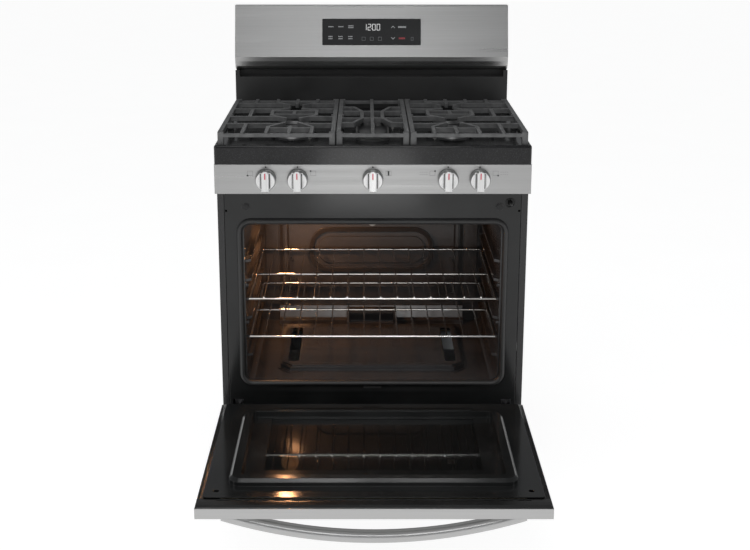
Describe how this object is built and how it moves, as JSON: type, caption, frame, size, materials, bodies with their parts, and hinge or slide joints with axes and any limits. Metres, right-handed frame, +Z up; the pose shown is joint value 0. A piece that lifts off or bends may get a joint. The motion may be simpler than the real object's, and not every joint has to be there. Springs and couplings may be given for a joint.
{
  "type": "freestanding gas range",
  "caption": "Freestanding gas range with cast-iron grates over sealed burners, front knobs, a drop-down oven door, sliding racks, a storage drawer and a raised backguard.",
  "frame": {"origin": "floor level, centred on the cabinet's width, half way between the control panel's face and the back cover", "axes": "+X to the right seen from the front, +Y to the back, +Z up"},
  "size_m": [0.759, 1.188, 1.188],
  "materials": {
    "stainless": "satin",
    "side_enamel": "satin",
    "black_enamel": "gloss",
    "cooktop_enamel": "gloss",
    "liner_enamel": "gloss",
    "cap_enamel": "matte",
    "galvanised": "matte",
    "leg_steel": "satin",
    "screw_steel": "satin",
    "gasket": "matte",
    "wool": "matte",
    "burner_steel": "satin",
    "burner_aluminium": "satin",
    "manifold": "satin",
    "stem_brass": "satin",
    "hinge_steel": "satin",
    "rack_chrome": "polished",
    "cast_iron": "matte",
    "knob_metal": "satin",
    "igniter_ceramic": "satin",
    "circuit_board": "satin",
    "black_plastic": "satin",
    "black_trim": "gloss",
    "dark_glass": "gloss",
    "clear_glass": "gloss",
    "display_glass": "gloss",
    "lamp_glass": "gloss"
  },
  "bodies": {
    "cabinet": {"side_panel_left": "side_enamel", "side_panel_right": "side_enamel", "back_covers": "galvanised", "base_pan": "galvanised", "levelling_legs": "leg_steel", "front_frame": "black_enamel", "frame_screws": "screw_steel", "frame_gasket": "gasket", "oven_liner": "liner_enamel", "oven_insulation": "wool", "oven_floor_plate": "liner_enamel", "bake_burner": "burner_steel", "broil_burner": "burner_steel", "oven_lamp": "lamp_glass", "temperature_probe": "burner_steel", "control_panel": "stainless", "gas_manifold": "manifold", "igniters": "igniter_ceramic", "cooktop": "cooktop_enamel", "backguard_panel": "stainless", "backguard_riser": "black_enamel", "display_glass": "display_glass", "control_board": "circuit_board", "hinge_receivers": "hinge_steel", "burner_head_front_left": "burner_aluminium", "burner_head_rear_left": "burner_aluminium", "burner_head_front_right": "burner_aluminium", "burner_head_rear_right": "burner_aluminium", "burner_head_centre": "burner_aluminium"},
    "door": {"door_skin": "stainless", "door_liner": "black_enamel", "door_outer_glass": "dark_glass", "door_inner_glass": "clear_glass", "door_insulation": "wool", "door_trim": "black_trim", "door_handle": "stainless", "door_hinge_arms": "hinge_steel"},
    "rack_upper": {"rack_upper": "rack_chrome"},
    "rack_lower": {"rack_lower": "rack_chrome"},
    "drawer": {"drawer_front": "stainless", "drawer_box": "galvanised"},
    "light_switch": {"light_switch_plunger": "black_plastic"},
    "grate_left": {"grate_left": "cast_iron"},
    "grate_centre": {"grate_centre": "cast_iron"},
    "grate_right": {"grate_right": "cast_iron"},
    "burner_cap_front_left": {"burner_cap_front_left": "cap_enamel"},
    "burner_cap_rear_left": {"burner_cap_rear_left": "cap_enamel"},
    "burner_cap_front_right": {"burner_cap_front_right": "cap_enamel"},
    "burner_cap_rear_right": {"burner_cap_rear_right": "cap_enamel"},
    "burner_cap_centre": {"burner_cap_centre": "cap_enamel"},
    "valve_stem_1": {"valve_stem_1": "stem_brass"},
    "knob_1": {"knob_1": "knob_metal"},
    "valve_stem_2": {"valve_stem_2": "stem_brass"},
    "knob_2": {"knob_2": "knob_metal"},
    "valve_stem_3": {"valve_stem_3": "stem_brass"},
    "knob_3": {"knob_3": "knob_metal"},
    "valve_stem_4": {"valve_stem_4": "stem_brass"},
    "knob_4": {"knob_4": "knob_metal"},
    "valve_stem_5": {"valve_stem_5": "stem_brass"},
    "knob_5": {"knob_5": "knob_metal"}
  },
  "joints": [
    {"name": "door_hinge", "type": "hinge", "parent": "cabinet", "child": "door", "pos_m": [0, -0.3105, 0.2315], "axis": [-1, 0, 0], "range_deg": [0, 90]},
    {"name": "light_switch_press", "type": "slide", "parent": "cabinet", "child": "light_switch", "axis": [0, 1, 0], "range_m": [0, 0.0095]},
    {"name": "rack_upper_slide", "type": "slide", "parent": "cabinet", "child": "rack_upper", "axis": [0, 1, 0], "range_m": [-0.35, 0]},
    {"name": "rack_lower_slide", "type": "slide", "parent": "cabinet", "child": "rack_lower", "axis": [0, 1, 0], "range_m": [-0.35, 0]},
    {"name": "drawer_slide", "type": "slide", "parent": "cabinet", "child": "drawer", "axis": [0, 1, 0], "range_m": [-0.4, 0]},
    {"name": "grate_left_lift", "type": "slide", "parent": "cabinet", "child": "grate_left", "axis": [0, 0, 1], "range_m": [0, 0.06]},
    {"name": "grate_centre_lift", "type": "slide", "parent": "cabinet", "child": "grate_centre", "axis": [0, 0, 1], "range_m": [0, 0.06]},
    {"name": "grate_right_lift", "type": "slide", "parent": "cabinet", "child": "grate_right", "axis": [0, 0, 1], "range_m": [0, 0.06]},
    {"name": "burner_cap_front_left_lift", "type": "slide", "parent": "cabinet", "child": "burner_cap_front_left", "axis": [0, 0, 1], "range_m": [0, 0.006]},
    {"name": "burner_cap_rear_left_lift", "type": "slide", "parent": "cabinet", "child": "burner_cap_rear_left", "axis": [0, 0, 1], "range_m": [0, 0.006]},
    {"name": "burner_cap_front_right_lift", "type": "slide", "parent": "cabinet", "child": "burner_cap_front_right", "axis": [0, 0, 1], "range_m": [0, 0.006]},
    {"name": "burner_cap_rear_right_lift", "type": "slide", "parent": "cabinet", "child": "burner_cap_rear_right", "axis": [0, 0, 1], "range_m": [0, 0.006]},
    {"name": "burner_cap_centre_lift", "type": "slide", "parent": "cabinet", "child": "burner_cap_centre", "axis": [0, 0, 1], "range_m": [0, 0.006]},
    {"name": "knob_1_turn", "type": "hinge", "parent": "cabinet", "child": "valve_stem_1", "pos_m": [-0.256, -0.33, 0.832], "axis": [0, -1, 0], "range_deg": [0, 230]},
    {"name": "knob_1_push", "type": "slide", "parent": "valve_stem_1", "child": "knob_1", "axis": [0, 1, 0], "range_m": [0, 0.004], "stiffness_N_per_m": 1500},
    {"name": "knob_2_turn", "type": "hinge", "parent": "cabinet", "child": "valve_stem_2", "pos_m": [-0.18, -0.33, 0.832], "axis": [0, -1, 0], "range_deg": [0, 230]},
    {"name": "knob_2_push", "type": "slide", "parent": "valve_stem_2", "child": "knob_2", "axis": [0, 1, 0], "range_m": [0, 0.004], "stiffness_N_per_m": 1500},
    {"name": "knob_3_turn", "type": "hinge", "parent": "cabinet", "child": "valve_stem_3", "pos_m": [0, -0.33, 0.832], "axis": [0, -1, 0], "range_deg": [0, 230]},
    {"name": "knob_3_push", "type": "slide", "parent": "valve_stem_3", "child": "knob_3", "axis": [0, 1, 0], "range_m": [0, 0.004], "stiffness_N_per_m": 1500},
    {"name": "knob_4_turn", "type": "hinge", "parent": "cabinet", "child": "valve_stem_4", "pos_m": [0.18, -0.33, 0.832], "axis": [0, -1, 0], "range_deg": [0, 230]},
    {"name": "knob_4_push", "type": "slide", "parent": "valve_stem_4", "child": "knob_4", "axis": [0, 1, 0], "range_m": [0, 0.004], "stiffness_N_per_m": 1500},
    {"name": "knob_5_turn", "type": "hinge", "parent": "cabinet", "child": "valve_stem_5", "pos_m": [0.256, -0.33, 0.832], "axis": [0, -1, 0], "range_deg": [0, 230]},
    {"name": "knob_5_push", "type": "slide", "parent": "valve_stem_5", "child": "knob_5", "axis": [0, 1, 0], "range_m": [0, 0.004], "stiffness_N_per_m": 1500}
  ],
  "couplings": [
    {"joint": "light_switch_press", "follows": "door_hinge", "m_per_rad": 0.0057}
  ]
}
